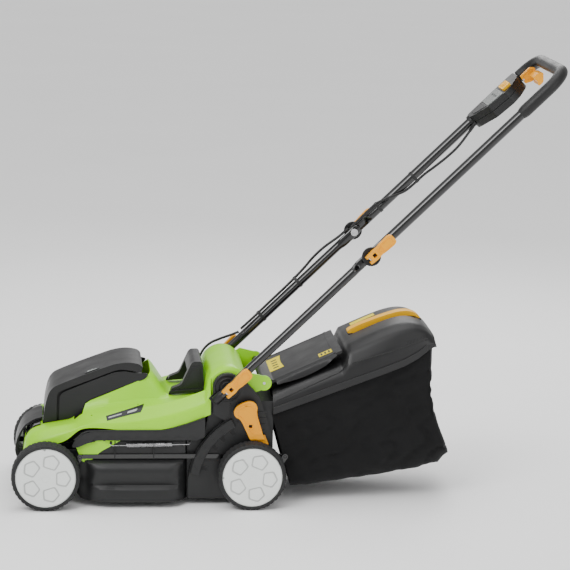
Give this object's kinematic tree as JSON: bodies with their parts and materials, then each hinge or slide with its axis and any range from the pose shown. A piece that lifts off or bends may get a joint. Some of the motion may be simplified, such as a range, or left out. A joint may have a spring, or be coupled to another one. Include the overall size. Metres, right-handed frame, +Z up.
{
  "type": "push lawn mower",
  "caption": "Cordless push lawn mower with a moulded deck, battery lid, folding tube handle with cam levers, height lever, swinging rear flap and hooked-on grass bag.",
  "frame": {"origin": "centre of the bounding box at the ground", "axes": "+Z up; the mower drives towards -X and its handle and bag reach back towards +X; its left side is at -Y"},
  "size_m": [1.2049, 0.39, 0.9816],
  "materials": {
    "deck_black": "fine moulded texture, satin",
    "cover_green": "smooth semi-gloss",
    "trim_black": "fine moulded texture",
    "lid_grey": "fine moulded texture, satin",
    "lever_yellow": "smooth moulded",
    "bag_yellow": "smooth moulded",
    "hub_white": "smooth moulded",
    "tyre_black": "ribbed tread, matte",
    "tube_black": "gloss powder coat",
    "grip_black": "soft foam",
    "cloth_black": "woven polyester mesh",
    "steel": "zinc plated",
    "blade_steel": "dark coated steel, ground edges",
    "motor_metal": "cast",
    "board_green": "circuit board",
    "cable_black": "smooth sheath"
  },
  "bodies": {
    "chassis": {"deck": "deck_black", "top_cover": "cover_green", "front_handle": "trim_black", "carry_handle": "trim_black", "battery_bay": "trim_black", "battery_pack_left": "lid_grey", "battery_pack_right": "lid_grey", "safety_key": "lever_yellow", "control_board": "board_green", "motor": "motor_metal", "side_bracket_left": "deck_black", "side_bracket_right": "deck_black", "flap_rod": "steel", "flap_spring": "steel", "balance_spring": "steel", "cable_body": "cable_black"},
    "battery_lid": {"battery_lid": "lid_grey"},
    "blade": {"motor_shaft": "steel", "blade_hub": "trim_black", "blade": "blade_steel", "blade_bolt": "steel"},
    "rear_flap": {"rear_flap": "lid_grey"},
    "grass_bag": {"bag_lid": "lid_grey", "bag_cloth": "cloth_black", "bag_frame": "steel", "bag_handle": "bag_yellow"},
    "lower_handle": {"lower_tube_left": "tube_black", "lower_tube_right": "tube_black", "lower_bolt_left": "steel", "lower_bolt_right": "steel", "cable_lower": "cable_black"},
    "upper_handle": {"upper_tube": "tube_black", "handle_grip": "grip_black", "upper_bolt_left": "steel", "upper_bolt_right": "steel", "washer_left": "trim_black", "washer_right": "trim_black", "switch_box": "trim_black", "switch_panel": "lid_grey", "cable_upper": "cable_black"},
    "safety_button": {"safety_button": "lever_yellow"},
    "start_lever": {"start_lever": "lever_yellow"},
    "lower_lever_left": {"lower_lever_left": "lever_yellow"},
    "upper_lever_left": {"upper_lever_left": "lever_yellow"},
    "lower_lever_right": {"lower_lever_right": "lever_yellow"},
    "upper_lever_right": {"upper_lever_right": "lever_yellow"},
    "rear_crank": {"rear_axle": "steel", "height_lever": "lever_yellow"},
    "front_crank": {"front_axle": "steel"},
    "link_rod": {"link_rod": "tube_black"},
    "front_left_wheel": {"front_left_tyre": "tyre_black", "front_left_hub": "hub_white"},
    "front_right_wheel": {"front_right_tyre": "tyre_black", "front_right_hub": "hub_white"},
    "rear_left_wheel": {"rear_left_tyre": "tyre_black", "rear_left_hub": "hub_white"},
    "rear_right_wheel": {"rear_right_tyre": "tyre_black", "rear_right_hub": "hub_white"}
  },
  "joints": [
    {"name": "lower_fold", "type": "hinge", "parent": "chassis", "child": "lower_handle", "pos_m": [-0.1315, 0, 0.265], "axis": [0, -1, 0], "range_deg": [0, 125]},
    {"name": "upper_fold", "type": "hinge", "parent": "lower_handle", "child": "upper_handle", "pos_m": [0.17482, 0, 0.56392], "axis": [0, 1, 0], "range_deg": [-140, 0]},
    {"name": "height_adjust", "type": "hinge", "parent": "chassis", "child": "rear_crank", "pos_m": [-0.045, 0, 0.046], "axis": [0, -1, 0], "range_deg": [0, 53.6]},
    {"name": "front_height", "type": "hinge", "parent": "chassis", "child": "front_crank", "pos_m": [-0.496, 0, 0.046], "axis": [0, -1, 0], "range_deg": [0, 53.6]},
    {"name": "link_pivot", "type": "hinge", "parent": "rear_crank", "child": "link_rod", "pos_m": [-0.00195, 0, 0.11104], "axis": [0, -1, 0], "range_deg": [-53.6, 0]},
    {"name": "front_left_spin", "type": "hinge", "parent": "front_crank", "child": "front_left_wheel", "pos_m": [-0.5275, 0, 0.075], "axis": [0, 1, 0], "continuous": true},
    {"name": "front_right_spin", "type": "hinge", "parent": "front_crank", "child": "front_right_wheel", "pos_m": [-0.5275, 0, 0.075], "axis": [0, 1, 0], "continuous": true},
    {"name": "rear_left_spin", "type": "hinge", "parent": "rear_crank", "child": "rear_left_wheel", "pos_m": [-0.0765, 0, 0.075], "axis": [0, 1, 0], "continuous": true},
    {"name": "rear_right_spin", "type": "hinge", "parent": "rear_crank", "child": "rear_right_wheel", "pos_m": [-0.0765, 0, 0.075], "axis": [0, 1, 0], "continuous": true},
    {"name": "battery_lid_hinge", "type": "hinge", "parent": "chassis", "child": "battery_lid", "pos_m": [-0.3225, 0, 0.288], "axis": [0, 1, 0], "range_deg": [0, 70]},
    {"name": "blade_spin", "type": "hinge", "parent": "chassis", "child": "blade", "pos_m": [-0.3225, 0, 0.04], "axis": [0, 0, 1], "continuous": true},
    {"name": "flap_hinge", "type": "hinge", "parent": "chassis", "child": "rear_flap", "pos_m": [-0.0495, 0, 0.272], "axis": [0, -1, 0], "range_deg": [0, 60], "stiffness_Nm_per_rad": 0.15, "springref_deg": -34.38},
    {"name": "bag_slide", "type": "slide", "parent": "chassis", "child": "grass_bag", "axis": [1, 0, 0], "range_m": [0, 0.45]},
    {"name": "safety_button_press", "type": "slide", "parent": "upper_handle", "child": "safety_button", "axis": [0.6984, 0, -0.7157], "range_m": [0, 0.003], "stiffness_N_per_m": 400, "springref_m": -0.002},
    {"name": "start_lever_pull", "type": "hinge", "parent": "upper_handle", "child": "start_lever", "pos_m": [0.54834, 0, 0.92284], "axis": [0, -1, 0], "range_deg": [0, 10], "stiffness_Nm_per_rad": 0.3, "springref_deg": -17.19},
    {"name": "lower_lever_left_cam", "type": "hinge", "parent": "lower_handle", "child": "lower_lever_left", "pos_m": [-0.13508, -0.1765, 0.26151], "axis": [0.6984, 0, -0.7157], "range_deg": [0, 100]},
    {"name": "upper_lever_left_cam", "type": "hinge", "parent": "upper_handle", "child": "upper_lever_left", "pos_m": [0.17124, -0.1765, 0.56043], "axis": [0.6984, 0, -0.7157], "range_deg": [0, 100]},
    {"name": "lower_lever_right_cam", "type": "hinge", "parent": "lower_handle", "child": "lower_lever_right", "pos_m": [-0.13508, 0.1765, 0.26151], "axis": [-0.6984, 0, 0.7157], "range_deg": [0, 100]},
    {"name": "upper_lever_right_cam", "type": "hinge", "parent": "upper_handle", "child": "upper_lever_right", "pos_m": [0.17124, 0.1765, 0.56043], "axis": [-0.6984, 0, 0.7157], "range_deg": [0, 100]}
  ],
  "couplings": [
    {"joint": "front_height", "follows": "height_adjust", "ratio": 1},
    {"joint": "link_pivot", "follows": "height_adjust", "ratio": -1}
  ]
}
